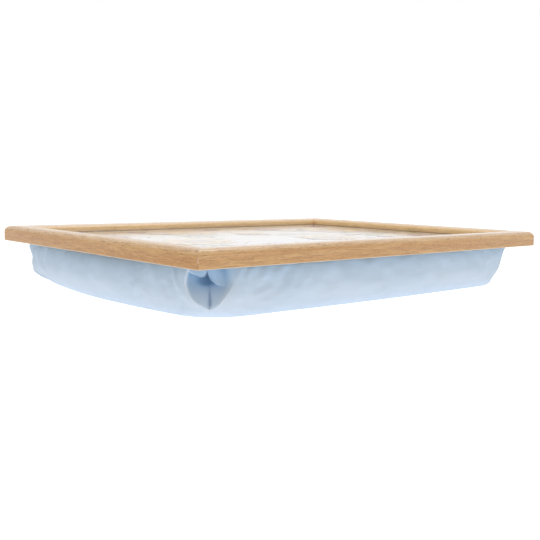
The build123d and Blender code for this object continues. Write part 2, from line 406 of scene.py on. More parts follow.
# Paints: their tones where they lie thin and deep, how deep their rims are, and how grainy
paints = {
    "pale_lilac_wash": (colour(233, 229, 235), colour(222, 205, 226), 0.25, 0.50),
    "sage_green_wash": (colour(186, 203, 158), colour(112, 146, 98), 0.35, 0.35),
    "violet_wash": (colour(208, 178, 222), colour(118, 74, 150), 0.35, 0.35),
    "golden_wash": (colour(250, 216, 92), colour(226, 142, 24), 0.30, 0.30),
    "pale_golden_wash": (colour(247, 222, 128), colour(232, 170, 48), 0.45, 0.35),
    "orange_wash": (colour(240, 166, 54), colour(214, 104, 22), 0.40, 0.30),
    "aubergine_wash": (colour(104, 72, 84), colour(34, 24, 34), 0.30, 0.40),
}

# Light: the strength of the world and the floor as they light the tray and as they are seen, and
# each lamp's name, place, width, height and power
world_light, world_seen = 0.38, 1.0
floor_light, floor_seen = 0.58, 0.75
lamp_target = (0, 0, 0.03)
lamps = (
    ("overhead_softbox", (0.1, 0.1, 1.7), 1.8, 1.8, 17.2),
    ("low_left_softbox", (-1.5, 0.1, 0.16), 1.2, 0.3, 1.1),
    ("low_front_softbox", (0.35, -1.6, 0.16), 1.4, 0.3, 2.1),
)
floor_reach = 6
floor_drop = 0.0003
floor_columns = 9


def eased(value, low, high):
    """Goes smoothly from 0 below low to 1 above high."""
    share = np.clip((value - low) / (high - low), 0, 1)
    return share * share * (3 - 2 * share)


def softened(value, width):
    """The value where it is above nothing, and nothing below, with a round bend between them."""
    return width * np.logaddexp(0, value / width)


class Finish:
    """One procedural material: its surface shader and the pattern nodes that feed it."""

    def __init__(self, name, **sockets):
        self.material = bpy.data.materials.new(name)
        self.material.use_nodes = True
        self.tree = self.material.node_tree
        self.shader = self.tree.nodes["Principled BSDF"]
        for socket, value in sockets.items():
            self.shader.inputs[socket.replace("_", " ")].default_value = value

    def node(self, kind, inputs, output=0, **settings):
        """Adds a node, sets or links its inputs, and returns one of its outputs."""
        node = self.tree.nodes.new(kind)
        for setting, value in settings.items():
            setattr(node, setting, value)
        for socket, value in inputs.items():
            if isinstance(value, bpy.types.NodeSocket):
                self.tree.links.new(value, node.inputs[socket])
            else:
                node.inputs[socket].default_value = value
        return node.outputs[output]

    def feed(self, socket, value):
        self.tree.links.new(value, self.shader.inputs[socket])

    def object_point(self):
        return self.node("ShaderNodeTexCoord", {}, output="Object")

    def cloth_point(self):
        return self.node("ShaderNodeUVMap", {}, uv_map="cloth")

    def attribute(self, name):
        return self.node("ShaderNodeAttribute", {}, output="Fac", attribute_name=name)

    def axes(self, point):
        """The three coordinates of a point."""
        return [
            self.node("ShaderNodeSeparateXYZ", {0: point}, output=axis) for axis in range(3)
        ]

    def sized(self, point, *sizes):
        """The point measured in a pattern's own sizes along X, Y and Z, or in one size for all."""
        scale = [1 / size for size in sizes * (3 // len(sizes))]
        return self.node("ShaderNodeMapping", {"Vector": point, "Scale": scale})

    def noise(self, point, *sizes, detail=2.0, roughness=0.5):
        """Soft clouds of these sizes."""
        point = self.sized(point, *sizes)
        inputs = {"Vector": point, "Scale": 1.0, "Detail": detail, "Roughness": roughness}
        return self.node("ShaderNodeTexNoise", inputs)

    def cells(self, point, *sizes, feature="F1"):
        """Distances from scattered places about these sizes apart, or from the lines between."""
        inputs = {"Vector": self.sized(point, *sizes), "Scale": 1.0}
        return self.node("ShaderNodeTexVoronoi", inputs, feature=feature)

    def maths(self, operation, *values):
        return self.node("ShaderNodeMath", dict(enumerate(values)), operation=operation)

    def sum(self, first, second):
        return self.maths("ADD", first, second)

    def difference(self, first, second):
        return self.maths("SUBTRACT", first, second)

    def product(self, first, second):
        return self.maths("MULTIPLY", first, second)

    def size(self, value):
        return self.maths("ABSOLUTE", value)

    def wave(self, value, pitch):
        """A sine of one pitch."""
        return self.maths("SINE", self.product(value, 2 * pi / pitch))

    def between(self, value, low, high, start=0.0, end=1.0):
        """Goes smoothly from start, where the value is low, to end, where it is high."""
        inputs = {
            "Value": value, "From Min": low, "From Max": high, "To Min": start, "To Max": end,
        }
        return self.node("ShaderNodeMapRange", inputs, interpolation_type="SMOOTHSTEP")

    def mixed(self, share, first, second):
        """Goes from the first colour to the second as the share goes from 0 to 1."""
        inputs = {"Factor": share, 6: first, 7: second}
        return self.node("ShaderNodeMix", inputs, output=2, data_type="RGBA")

    def layered(self, tone, *layers):
        """Lays more tones over a first one, each by its own share."""
        for share, upper_tone in layers:
            tone = self.mixed(share, tone, upper_tone)
        return tone

    def relief(self, height, distance):
        """Feeds a height, in shares of a distance, to the surface's normal."""
        inputs = {"Height": height, "Distance": distance, "Strength": 1.0}
        self.feed("Normal", self.node("ShaderNodeBump", inputs))


def beech(name, across_axis, lacquer, outer_shade):
    """Beech under a satin lacquer, with its grain along a rail.

    Soft bands and fine streaks run with the grain, and separate dark dashes, long and short, lie
    in clusters between them. The crown carries a painted highlight, and the outer side a painted
    shade by a share. The inner shoulder carries painted warm light, and a painted shadow where it
    meets the board. The lower arris carries a painted highlight, the underside is raw, and a thin
    glue line shows where two rails meet.
    """
    wood = Finish(
        name, Roughness=0.40, Specular_IOR_Level=0.5 * lacquer, Coat_Weight=lacquer,
        Coat_Roughness=0.14, Coat_IOR=1.4,
    )
    point = wood.object_point()
    places = wood.axes(point)
    height = places[2]
    reaches = [wood.size(place) for place in places[:2]]
    inner_edge = (half_length, half_width)[across_axis] - rail_width
    shoulder = wood.difference(reaches[across_axis], inner_edge)

    def grained(size):
        """A pattern's sizes along X, Y and Z, from its sizes along and across the grain."""
        sizes = [size[0], size[0], size[1]]
        sizes[across_axis] = size[1]
        return sizes

    def below_crown(depths, top, bottom):
        """Goes from top to bottom between two depths below the crown."""
        return wood.between(height, frame_top - depths[1], frame_top - depths[0], bottom, top)

    def above(level, heights, strength):
        """Fades out between two heights above a level."""
        return wood.between(height, level + heights[0], level + heights[1], strength, 0.0)

    topside = below_crown(topside_depths, 1.0, 0.0)
    bands = wood.between(wood.noise(point, *grained(band_size)), *band_range)
    streaks = wood.noise(point, *grained(streak_size), detail=4, roughness=0.7)
    streaks = wood.between(streaks, *streak_range)
    long_flecks = wood.cells(point, *grained(long_fleck_size))
    long_flecks = wood.between(long_flecks, *long_fleck_range, 1.0, 0.0)
    long_flecks = wood.product(long_flecks, wood.between(topside, 0.0, 1.0, *long_fleck_shares))
    short_flecks = wood.cells(point, *grained(short_fleck_size))
    short_flecks = wood.between(short_flecks, *short_fleck_range, 0.8, 0.0)
    clusters = wood.between(wood.noise(point, *grained(cluster_size)), *cluster_range, 0.5, 1.0)
    flecks = wood.product(wood.between(wood.sum(long_flecks, short_flecks), 0.0, 1.0), clusters)
    open_grain = wood.between(shoulder, *grain_reaches, 0.5, 1.0)
    # Painted shadow where the shoulder meets the board
    seat_shadow = wood.between(shoulder, *seat_shadow_reaches, seat_shadow_strength, 0.0)

    offset = wood.difference(reaches[0], wood.sum(reaches[1], half_length - half_width))
    joint = wood.between(wood.size(offset), *joint_widths, 1.0, 0.0)
    filler = wood.between(wood.noise(point, *filler_size), *filler_range)
    glue = wood.mixed(topside, wood.mixed(filler, *filler_tones), glue_tone)

    tone = wood.layered(
        wood.mixed(bands, *band_tones),
        # Painted highlight on the crown
        (below_crown(crown_highlight_depths, crown_highlight_strength, 0.0), crown_highlight_tone),
        # Painted shade on the outer side
        (below_crown(outer_shade_depths, 0.0, outer_shade), outer_shade_tone),
        # Painted warm light on the inner shoulder
        (wood.between(shoulder, *shoulder_light_reaches, shoulder_light_strength, 0.0), shoulder_light_tone),
        (
            wood.product(wood.product(streaks, open_grain), streak_strength),
            wood.mixed(topside, *streak_tones),
        ),
        (wood.product(wood.product(flecks, open_grain), fleck_strength), fleck_tone),
        # Painted highlight along the lower arris
        (above(frame_bottom, arris_highlight_heights, arris_highlight_strength), arris_highlight_tone),
        # Painted shadow at the seat against the board
        (wood.product(above(laminate_top, seat_shadow_heights, 1.0), seat_shadow), seat_shadow_tone),
        (wood.product(joint, wood.between(topside, 0.0, 1.0, *joint_shares)), glue),
        (above(frame_bottom, raw_heights, raw_strength), raw_tone),
    )
    wood.feed("Base Color", tone)

    dulling = wood.sum(wood.product(streaks, 0.10), wood.product(flecks, 0.12))
    wood.feed("Roughness", wood.sum(dulling, 0.30))
    fibres = wood.noise(point, *grained(fibre_size))
    pores = wood.difference(wood.product(fibres, 0.5), flecks)
    wood.relief(wood.difference(pores, joint), 0.00004)
    return wood.material


def laminate():
    """Pale laminate, glossy and hardly uneven, with a faint mottle."""
    sheet = Finish("pale_laminate", Specular_IOR_Level=0.5, Coat_Weight=1.0, Coat_Roughness=0.13)
    point = sheet.object_point()
    mottle = sheet.noise(point, 0.018, detail=3)
    cloud = sheet.between(mottle, 0.35, 0.65)
    sheet.feed("Base Color", sheet.mixed(cloud, colour(224, 226, 228), colour(229, 230, 231)))
    sheet.feed("Roughness", sheet.between(mottle, 0.2, 0.8, 0.15, 0.21))
    return sheet.material


def fibreboard():
    """Pale brown pressed fibre with long loose hairs and specks."""
    board = Finish("pressed_fibreboard", Roughness=0.88)
    point = board.object_point()
    hairs = board.noise(point, 0.0030, 0.0006, 0.0006, detail=3)
    crossed = board.noise(point, 0.0006, 0.0030, 0.0006, detail=3)
    specks = board.between(board.noise(point, 0.0007), 0.6, 0.7, 0.0, 0.5)
    fibre = board.between(board.sum(hairs, crossed), 0.8, 1.2)
    tone = board.mixed(fibre, colour(176, 144, 106), colour(198, 168, 128))
    board.feed("Base Color", board.mixed(specks, tone, colour(120, 90, 60)))
    board.relief(fibre, 0.00006)
    return board.material


def hardboard():
    """Dark brown hardboard with the fine mesh print of its press and a smooth waxy bloom."""
    board = Finish("mesh_backed_hardboard", Roughness=0.62)
    point = board.object_point()
    mesh_pitch = 0.0014
    across, along, _ = board.axes(point)
    mesh = board.product(board.wave(across, mesh_pitch), board.wave(along, mesh_pitch))
    bloom = board.between(board.noise(point, 0.03, 0.02, 0.02, detail=4), 0.35, 0.65)
    fibre = board.noise(point, 0.0015, detail=4)
    dark_fibre = board.between(fibre, 0.4, 0.7, 0.0, 0.5)
    tone = board.mixed(bloom, colour(98, 66, 43), colour(122, 86, 58))
    board.feed("Base Color", board.mixed(dark_fibre, tone, colour(74, 48, 31)))
    board.relief(board.sum(board.product(mesh, 0.3), fibre), 0.00005)
    return board.material


def zinc_steel():
    """Zinc-plated steel with soft spangle, drawn lines and dull worn spots."""
    steel = Finish("zinc_steel", Metallic=1.0)
    point = steel.object_point()
    spangle = steel.between(steel.cells(point, 0.0016), 0.1, 0.8)
    drawn = steel.noise(point, 0.0002, 0.0002, 0.004)
    tone = steel.mixed(spangle, colour(196, 199, 203), colour(168, 172, 178))
    steel.feed("Base Color", tone)
    steel.feed("Roughness", steel.between(drawn, 0.3, 0.7, 0.26, 0.48))
    steel.relief(drawn, 0.00001)
    return steel.material


def set_glue():
    """Cloudy ivory glue, set with a wrinkled skin and small bubbles."""
    glue = Finish("set_glue", Roughness=0.34, Subsurface_Weight=0.2, Subsurface_Scale=0.002)
    point = glue.object_point()
    cloud = glue.between(glue.noise(point, 0.006, detail=3), 0.35, 0.65)
    bubbles = glue.between(glue.cells(point, 0.0016), 0.08, 0.2)
    glue.feed("Base Color", glue.mixed(cloud, colour(226, 208, 164), colour(238, 228, 198)))
    glue.relief(glue.sum(cloud, glue.product(bubbles, 0.5)), 0.0002)
    return glue.material


def woven(name, warp, weft, shade, painted_shade_tone, pitch, slub, **sockets):
    """Plain-woven cloth: threads over and under each other, a few of them thicker or darker.

    It carries a painted cool shade towards the frame and in a tuck, a deeper painted shade where
    it lies out of the light, a painted highlight on a ridge, and is paler round the sole.
    """
    cloth = Finish(name, **sockets)
    point = cloth.cloth_point()
    across, along, _ = cloth.axes(point)
    weave = cloth.product(cloth.wave(across, pitch), cloth.wave(along, pitch))
    warp_threads = cloth.noise(point, pitch * 1.5, slub_length, 1.0, detail=1)
    weft_threads = cloth.noise(point, slub_length, pitch * 1.5, 1.0, detail=1)
    threads = cloth.sum(warp_threads, weft_threads)
    wear = cloth.noise(cloth.object_point(), 0.05, 0.05, 0.03, detail=3)
    painted_shade = cloth.attribute("painted_shade")
    tone = cloth.layered(
        cloth.mixed(cloth.between(weave, -1.0, 1.0), warp, weft),
        (cloth.between(threads, 0.8, 1.25, 0.0, slub), shade),
        (cloth.between(wear, 0.35, 0.7, 0.0, slub), shade),
        # Painted cool shade towards the frame and in a tuck
        (cloth.product(cloth.attribute("cool_shade"), cool_shade_strength), cool_shade_tone),
        # Painted shade, deepest in a tuck
        (cloth.product(painted_shade, painted_shade_strength), painted_shade_tone),
        (cloth.between(painted_shade, *deepest_shade_range, 0.0, deepest_shade_strength), deepest_shade_tone),
        # Painted highlight on ridges and fold rims, and paler towards the sole
        (cloth.product(cloth.attribute("highlight_and_pale_sole"), pale_highlight_strength), pale_highlight_tone),
    )
    cloth.feed("Base Color", tone)
    cloth.relief(cloth.sum(cloth.product(weave, 0.5), threads), pitch * 0.05)
    return cloth.material


def bead_pack():
    """White foam beads packed side by side, a few millimetres across."""
    beads = Finish("foam_beads", Roughness=0.7, Subsurface_Weight=0.15, Subsurface_Scale=0.002)
    point = beads.object_point()
    roundness = beads.between(beads.cells(point, bead_size), 0.0, 0.62, 1.0, 0.0)
    # Painted shade in the gaps between beads
    gap_shade = beads.cells(point, bead_size, feature="DISTANCE_TO_EDGE")
    gap_shade = beads.between(gap_shade, 0.0, 0.1)
    beads.feed("Base Color", beads.mixed(gap_shade, colour(196, 200, 205), colour(240, 242, 244)))
    beads.relief(roundness, 0.0012)
    return beads.material


def watercolour(name, light, deep, rim_strength, granulation):
    """A wash of paint: pale in its middle, deeper where it gathered at the rim and at the base."""
    paint = Finish(name, Specular_IOR_Level=0.5, Coat_Weight=1.0, Coat_Roughness=0.13)
    point = paint.object_point()
    rim = paint.attribute("rim")
    depth = paint.attribute("depth")
    pools = paint.between(paint.noise(point, 0.011, 0.011, 1.0, detail=4), 0.36, 0.66)
    grains = paint.noise(point, 0.0012, 0.0012, 1.0, detail=4, roughness=0.7)
    wash = paint.sum(paint.product(pools, 0.45), paint.product(depth, 0.75))
    wash = paint.sum(wash, paint.product(rim, rim_strength))
    wash = paint.sum(wash, paint.product(paint.between(grains, 0.3, 0.75, -0.5, 0.5), granulation))
    paint.feed("Base Color", paint.mixed(paint.between(wash, 0.0, 1.1), light, deep))
    paint.feed("Roughness", paint.between(pools, 0.0, 1.0, 0.15, 0.21))
    return paint.material


def grid_faces(rows, columns, closed):
    """Corner numbers of a grid's quads, row by row.

    In a closed grid the last column is joined to the first.
    """
    start = np.arange(rows - 1)[:, None] * columns
    left = np.arange(columns if closed else columns - 1)[None, :]
    right = (left + 1) % columns
    corners = (start + left, start + columns + left, start + columns + right, start + right)
    return np.stack(corners, -1).reshape(-1, 4)


def made_piece(name, points, faces, material, attributes=None, cloth_places=None):
    """Puts points and faces into a smooth mesh with its material, attributes and cloth map."""
    mesh = bpy.data.meshes.new(name)
    mesh.from_pydata(points.reshape(-1, 3).tolist(), [], faces)
    mesh.polygons.foreach_set("use_smooth", np.ones(len(mesh.polygons), bool))
    for attribute, values in (attributes or {}).items():
        layer = mesh.attributes.new(attribute, "FLOAT", "POINT")
        layer.data.foreach_set("value", np.asarray(values, np.float32).ravel())
    if cloth_places is not None:
        corners = np.zeros(len(mesh.loops), np.int32)
        mesh.loops.foreach_get("vertex_index", corners)
        layer = mesh.uv_layers.new(name="cloth")
        layer.data.foreach_set("uv", cloth_places.reshape(-1, 2)[corners].ravel())
    mesh.materials.append(material)
    mesh.update()
    piece = bpy.data.objects.new(name, mesh)
    bpy.context.scene.collection.objects.link(piece)
    return piece


def cushion_columns():
    """Each column's corner and its share of the way from there to the middle of a side.

    The shares crowd towards the corners as a hyperbolic sine. The columns go anticlockwise from
    the middle of the front side, and a share is negative on the side before its corner.
    """
    steps = np.arange(half_side_columns + 1) / half_side_columns
    spread = np.sinh(column_crowding * steps) / np.sinh(column_crowding)
    around = np.concatenate([-spread[:0:-1], spread[:-1]])
    return np.repeat(np.arange(4), len(around)), np.tile(around, 4)


def ring_places(rings, corner, reach):
    """Points on rounded rectangles, found by their distance along them from a corner's middle.

    A corner is a quarter circle, and each side bows outwards as a parabola.
    """
    inset, level, bow_share, radius = rings
    signs = corner_signs[corner]
    axis = np.where(reach >= 0, 1 - sides_before[corner], sides_before[corner])
    halves = np.stack([half_length - inset + 0 * reach, half_width - inset + 0 * reach])
    along_half = np.where(axis == 0, halves[0], halves[1])
    cross_half = np.where(axis == 0, halves[1], halves[0])
    x_bow, y_bow = (bow_share * side_bows[i, (signs[:, i] > 0).astype(int)] for i in (0, 1))
    own_bow = np.where(axis == 0, y_bow, x_bow)
    other_bow = np.where(axis == 0, x_bow, y_bow)
    distance = np.abs(reach)
    arc = radius * pi / 4
    turn = pi / 4 - np.minimum(distance, arc) / radius
    along = radius * (1 - np.sin(turn)) + np.maximum(distance - arc, 0)
    inward = radius * (1 - np.cos(turn))
    along_place = along_half - along + other_bow * (1 - (1 - inward / cross_half) ** 2)
    cross_place = cross_half - inward + own_bow * (1 - (1 - along / along_half) ** 2)
    x = signs[:, 0] * np.where(axis == 0, along_place, cross_place)
    y = signs[:, 1] * np.where(axis == 0, cross_place, along_place)
    return np.stack([x, y, level + 0 * x], -1)


def cushion_rings(corner, share):
    """Inset, level, share of the bow and corner radii of each ring, from the flap to the sole.

    The flap lies on the backing board and folds over its rim in a quarter circle. Below the
    frame a side is a quarter ellipse out to the belly, then a parabola in to the flat sole. The
    parabola goes further in towards the corners.
    """
    collar_inset = half_length - backing_half_length - cover_wall - cover_clearance
    flap_level = backing_top + cover_wall
    neck_level = frame_bottom - neck_drop
    flap = np.linspace(turn_in_width, turn_in_fold, flap_rows)
    fold = np.linspace(0, pi / 2, fold_rows)[1:]
    collar = np.linspace(flap_level - turn_in_fold, neck_level, collar_rows + 2)[1:-1]
    upper_turn = np.linspace(pi / 2, 0, upper_rows)
    fall = np.linspace(0, 1, lower_rows + 1)[1:]
    upper = 1 - np.cos(upper_turn)
    lower = fall**2
    sole = np.linspace(0, 1, sole_rows + 1)[1:-1]
    belly_inset = collar_inset - belly_reach
    cornerwards = eased(-np.abs(share), -1, 0)
    draw_in = sole_draw_in + (corner_draw_ins[corner] - sole_draw_in) * cornerwards
    sole_inset = belly_inset + draw_in
    last_inset = half_width - last_ring_radius
    above = flap_rows + len(fold) + collar_rows
    inset = np.concatenate([
        collar_inset + flap,
        collar_inset + turn_in_fold * (1 - np.sin(fold)),
        np.full(collar_rows, collar_inset),
        belly_inset + belly_reach * upper,
    ])
    inset = np.concatenate([
        inset[:, None] + 0 * draw_in,
        belly_inset + draw_in * lower[:, None],
        sole_inset + (last_inset - sole_inset) * sole[:, None],
    ])
    level = np.concatenate([
        np.full(flap_rows, flap_level),
        flap_level - turn_in_fold * (1 - np.cos(fold)),
        collar,
        belly_level + (neck_level - belly_level) * np.sin(upper_turn),
        belly_level * (1 - fall),
        np.zeros(len(sole)),
    ])
    bow_share = np.concatenate([np.zeros(above), 1 - upper, np.ones(lower_rows), 1 - sole])
    radii = [
        np.concatenate([
            np.full(above, neck_corner_radius),
            belly_corner_radius + (neck_corner_radius - belly_corner_radius) * upper,
            belly_corner_radius + (sole_radius - belly_corner_radius) * lower,
            sole_radius + (last_ring_radius - sole_radius) * sole,
        ])
        for sole_radius in sole_corner_radii
    ]
    return inset, level[:, None], bow_share[:, None], np.stack(radii, 1)[:, corner]


def by_depth(depth, corner, tables):
    """Values in metres at each ring's depth, from tables in millimetres, one for each corner.

    Between a table's depths a value goes straight, and each bend is then rounded by averaging
    the values a little above and below.
    """
    tables = np.broadcast_to(np.array(tables, float), (4, len(tuck_depths)))
    offsets = np.linspace(-table_rounding, table_rounding, 9)
    weights = np.cos(offsets / table_rounding * pi / 2) ** 2
    near = depth[:, :1] * 1000 + offsets
    rows = [(np.interp(near, tuck_depths, table) @ weights) / weights.sum() for table in tables]
    return np.stack(rows, 1)[:, corner] / 1000


def by_side(after, depth, corner, left_table, right_table):
    """The left table's values before a corner, and the right table's after it."""
    left, right = by_depth(depth, corner, left_table), by_depth(depth, corner, right_table)
    return np.where(after, right, left)


def tucked_places(rings, corner, reach):
    """The cushion's surface, drawn into a V-shaped tuck at each corner.

    Between two lips the surface leaves its rounded ring and runs straight in to a slit on the
    corner's diagonal. Each lip is a soft bend. With the places come how far each stands out as a
    ridge, which also sets its painted highlight, how much painted shade it carries, and how far
    inside a tuck it lies.
    """
    depth = frame_bottom - rings[1]
    slit_inset = by_depth(depth, corner, slit_insets) * (depth > 0)
    slit_inset = slit_inset * np.where(rings[1] > 0, 1, eased(rings[2], *sole_closing_shares))
    wander = by_depth(depth, corner, slit_wanders)
    shifted = reach + wander * np.exp(-((reach / wander_reach) ** 2))
    from_slit = shifted - wander
    distance = np.abs(from_slit)
    rightward = from_slit > 0
    side = np.where(rightward, 1.0, -1.0)
    lip = by_side(rightward, depth, corner, left_lips, right_lips) - side * wander
    way = np.maximum(lip, narrowest_lip)
    softness = by_side(rightward, depth, corner, left_softnesses, right_softnesses)
    softness = np.minimum(softness, way * widest_bend)
    beyond = softened(distance - way, softness)
    share = (distance - beyond + softened(-way, softness)) / way
    fold_share, fold_rim = small_folds(corner, side * share, depth)
    groove_share = np.exp(-((distance / by_depth(depth, corner, groove_widths)) ** 2))
    groove = by_depth(depth, corner, groove_depths) * groove_share

    inward = np.concatenate([-corner_signs / np.sqrt(2), np.zeros((4, 1))], 1)[corner]
    slit_point = ring_places(rings, corner, wander + 0 * reach) + slit_inset[..., None] * inward
    slit_point = slit_point + (groove - fold_share * slit_inset)[..., None] * inward
    lip_point = ring_places(rings, corner, wander + side * way)
    past_lip = ring_places(rings, corner, wander + side * (way + beyond)) - lip_point
    tucked = slit_point + (lip_point - slit_point) * share[..., None] + past_lip
    plain = ring_places(rings, corner, shifted)
    drawn = eased(slit_inset, 0.0, drawn_inset)
    points = plain + (tucked - plain) * drawn[..., None]

    standing = by_side(rightward, depth, corner, left_ridges, right_ridges) * 1000
    # The ridge raises the cloth and also sets its painted highlight
    ridge = drawn * standing * np.exp(-(((distance - way) / ridge_width) ** 2)) + fold_rim
    # Painted shade inside a tuck, deeper under the small folds and in the groove
    opening = np.where(rightward, tuck_shade_openings[1], tuck_shade_openings[0])
    inside = drawn * (1 - eased(share, opening, 1.0)) * eased(slit_inset, *deep_insets)
    painted_shade = inside * (1 - eased(depth, *tuck_shade_depths))
    shade = folds_shade(corner, side * share, depth)
    painted_shade = painted_shade * (1 + fold_shade_strength * shade) * (1 - 1.2 * fold_share)
    return points, ridge, painted_shade + groove_shade_strength * groove * drawn, inside


def small_folds(corner, across, depth):
    """How far the folds hang over the near tuck, in shares of its depth, and their rims, which
    stand up a little and carry a painted highlight.

    Across goes from -1 at the left lip to 1 at the right. The left fold is a shallow arch, and the
    right fold hangs like a tongue, whose edge runs down beside the slit and then away from it.
    """
    arch = np.interp(-across, left_fold_places, left_fold_drops) / 1000
    tongue = np.interp(across, right_fold_places, right_fold_drops) / 1000
    edge = np.where(across > 0, tongue, arch)
    tongue_reach = fold_reaches[1] * (1 - eased(across, *tongue_end_shares))
    reach = np.where(across > 0, tongue_reach, fold_reaches[0]) * (corner == near_corner)
    # The rim raises the cloth and carries a painted highlight
    rim = np.exp(-(((edge - depth) / fold_rim_width) ** 2)) * reach * fold_rim_strength
    return eased(edge - depth, *fold_edge_depths) * reach, rim


def folds_shade(corner, across, depth):
    """The shade under the small folds, deepest just below their edge."""
    down_spread, across_spread = fold_shade_spreads
    below = np.exp(-(((depth - fold_shade_depth) / down_spread) ** 2))
    beside = np.exp(-(((across - fold_shade_place) / across_spread) ** 2))
    return (corner == near_corner) * below * beside


def outward(points):
    """The grid's unit normals, from its columns going round and its rows going down."""
    round_step = np.roll(points, -1, axis=1) - np.roll(points, 1, axis=1)
    down_step = np.gradient(points, axis=0)
    normal = np.cross(down_step, round_step)
    return normal / np.maximum(np.linalg.norm(normal, axis=-1, keepdims=True), 1e-12)


def crease_heights(corner, reach, depth):
    """Soft ridges along straight lines, each a bell across its line that tapers to both ends."""
    height = 0 * reach
    for number, side, start, end, rise, width in creases:
        start, end = np.array(start) / 1000, np.array(end) / 1000
        on_side = (corner == number) & ((reach < 0) if side == "before" else (reach > 0))
        place = np.stack([np.abs(reach), depth + 0 * reach], -1) - start
        along = np.clip(place @ (end - start) / np.sum((end - start) ** 2), 0, 1)
        away = np.linalg.norm(place - along[..., None] * (end - start), axis=-1)
        taper = np.sin(pi * (crease_taper_shares[0] + crease_taper_shares[1] * along))
        height += on_side * rise / 1000 * taper * np.exp(-((away / (width / 1000)) ** 2))
    return height


def reach_of(corner, share, rings):
    """Each point's distance along its ring from its corner, negative before the corner."""
    inset, _, _, radius = rings
    axis = np.where(share >= 0, 1 - sides_before[corner], sides_before[corner])
    along_half = np.where(axis == 0, half_length, half_width) - inset
    return share * (along_half - radius * (1 - pi / 4))


def simulated_folds(corner, share):
    """How far cloth cut a little too large folds out of the cushion's sides, at each point.

    A coarse grid of the sides is blown up as cloth, held at the frame, the sole and the tucks.
    Only its folds are kept: the even swell is taken off with a running mean along each row.
    """
    coarse_corner = np.repeat(np.arange(4), 2 * cloth_columns)
    coarse_share = np.tile(np.linspace(-1, 1, 2 * cloth_columns, endpoint=False), 4)
    all_rings = cushion_rings(coarse_corner, coarse_share)
    rings = tuple(values[side_rows][::cloth_row_step] for values in all_rings)
    reach = reach_of(coarse_corner, coarse_share, rings)
    points, _, _, _ = tucked_places(rings, coarse_corner, reach)
    rows, columns = points.shape[:2]
    depth = frame_bottom - rings[1]
    lips = by_side(reach > 0, depth, coarse_corner, left_lips, right_lips)
    free = eased(np.abs(reach) - lips, *cloth_free_reaches)
    free[[0, -1]] = 0
    faces = grid_faces(rows, columns, True).tolist()
    cloth = made_piece("loose_cloth", points, faces, bpy.data.materials.new("loose_cloth"))
    held = cloth.vertex_groups.new(name="held")
    held.add(np.flatnonzero(free.ravel() < cloth_held_share).tolist(), 1.0, "REPLACE")
    modifier = cloth.modifiers.new("cloth", "CLOTH")
    modifier.point_cache.frame_end = cloth_frames
    for setting, value in cloth_settings.items():
        setattr(modifier.settings, setting, value)
    modifier.settings.vertex_group_mass = "held"
    modifier.settings.effector_weights.gravity = 0
    scene = bpy.context.scene
    for number in range(1, cloth_frames + 1):
        scene.frame_set(number)
    mesh = cloth.evaluated_get(bpy.context.evaluated_depsgraph_get()).to_mesh()
    blown = np.zeros(rows * columns * 3, np.float32)
    mesh.vertices.foreach_get("co", blown)
    scene.frame_set(1)
    moved = np.sum((blown.reshape(points.shape) - points) * outward(points), -1)
    bpy.data.objects.remove(cloth)
    moved = np.clip(moved, -cloth_limit, cloth_limit)
    window = np.hanning(2 * cloth_swell_columns + 1)
    padded = np.pad(moved, ((0, 0), (cloth_swell_columns, cloth_swell_columns)), "wrap")
    swell = np.stack([np.convolve(row, window / window.sum(), "valid") for row in padded])
    folds = (moved - swell) * free * cloth_fold_share
    folds = (np.roll(folds, 1, 1) + 2 * folds + np.roll(folds, -1, 1)) / 4
    place, coarse_place = 2 * corner + share, 2 * coarse_corner + coarse_share
    folds = np.stack([np.interp(place, coarse_place, row, period=8) for row in folds])
    fine_rows = np.arange(upper_rows + lower_rows) / cloth_row_step
    folds = np.stack([np.interp(fine_rows, np.arange(rows), row) for row in folds.T], 1)
    blur = np.hanning(2 * cloth_row_step + 1)
    folds = np.pad(folds, ((cloth_row_step - 1, cloth_row_step - 1), (0, 0)), "edge")
    blur = blur[1:-1] / blur.sum()
    return np.stack([np.convolve(row, blur, "valid") for row in folds.T], 1)


def lengths_along(points):
    """How far each point lies along its line, which goes from row to row."""
    return np.cumsum(np.linalg.norm(np.diff(points, axis=0, prepend=points[:1]), axis=-1), 0)


def cushion_cover(material):
    """The cloth cover: rings from the turned-in flap down to a closed middle of the sole."""
    corner, share = cushion_columns()
    rings = cushion_rings(corner, share)
    level = rings[1]
    reach = reach_of(corner, share, rings)
    points, ridge, painted_shade, inside = tucked_places(rings, corner, reach)
    depth = frame_bottom - level
    below_frame = eased(depth, 0.0, crease_fades[0]) * eased(level, 0.0, crease_fades[1])
    raised = crease_heights(corner, reach, depth) * below_frame + ridge * ridge_height
    raised[side_rows] += simulated_folds(corner, share)
    points = points + outward(points) * raised[..., None]
    # Painted shade on the cloth just under the frame
    eaves_shade = eaves_shade_share * (depth > 0) * eased(-depth, -eaves_shade_depth, 0)
    painted_shade = np.clip(painted_shade + eaves_shade, 0, 2)
    # Painted cool shade towards the frame and in a tuck
    tuck_cool_shade = tuck_cool_shade_share * inside
    cool_shade = np.maximum(eased(level, cool_shade_low, frame_bottom), tuck_cool_shade)
    # Painted highlight on ridges and fold rims, and paler towards the sole
    highlight_and_pale_sole = ridge + pale_sole_share * (1 - eased(level, 0, pale_sole_height))
    rows, columns = points.shape[:2]
    faces = grid_faces(rows, columns, True).tolist()
    last, middle = (rows - 1) * columns, rows * columns
    faces += [(last + i, middle, last + (i + 1) % columns) for i in range(columns)]
    down = lengths_along(points)
    around = lengths_along(points[flap_rows + fold_rows + collar_rows])
    cloth_places = np.stack([around + 0 * down, down], -1).reshape(-1, 2)
    cloth_places = np.concatenate([cloth_places, cloth_places[-1:]])
    points = np.concatenate([points.reshape(-1, 3), points[-1].mean(0, keepdims=True)])
    attributes = {
        "painted_shade": np.append(painted_shade, 0),
        "highlight_and_pale_sole": np.append(highlight_and_pale_sole, pale_sole_share),
        "cool_shade": np.append(cool_shade, 0),
    }
    return made_piece("cushion_cover_cloth", points, faces, material, attributes, cloth_places)


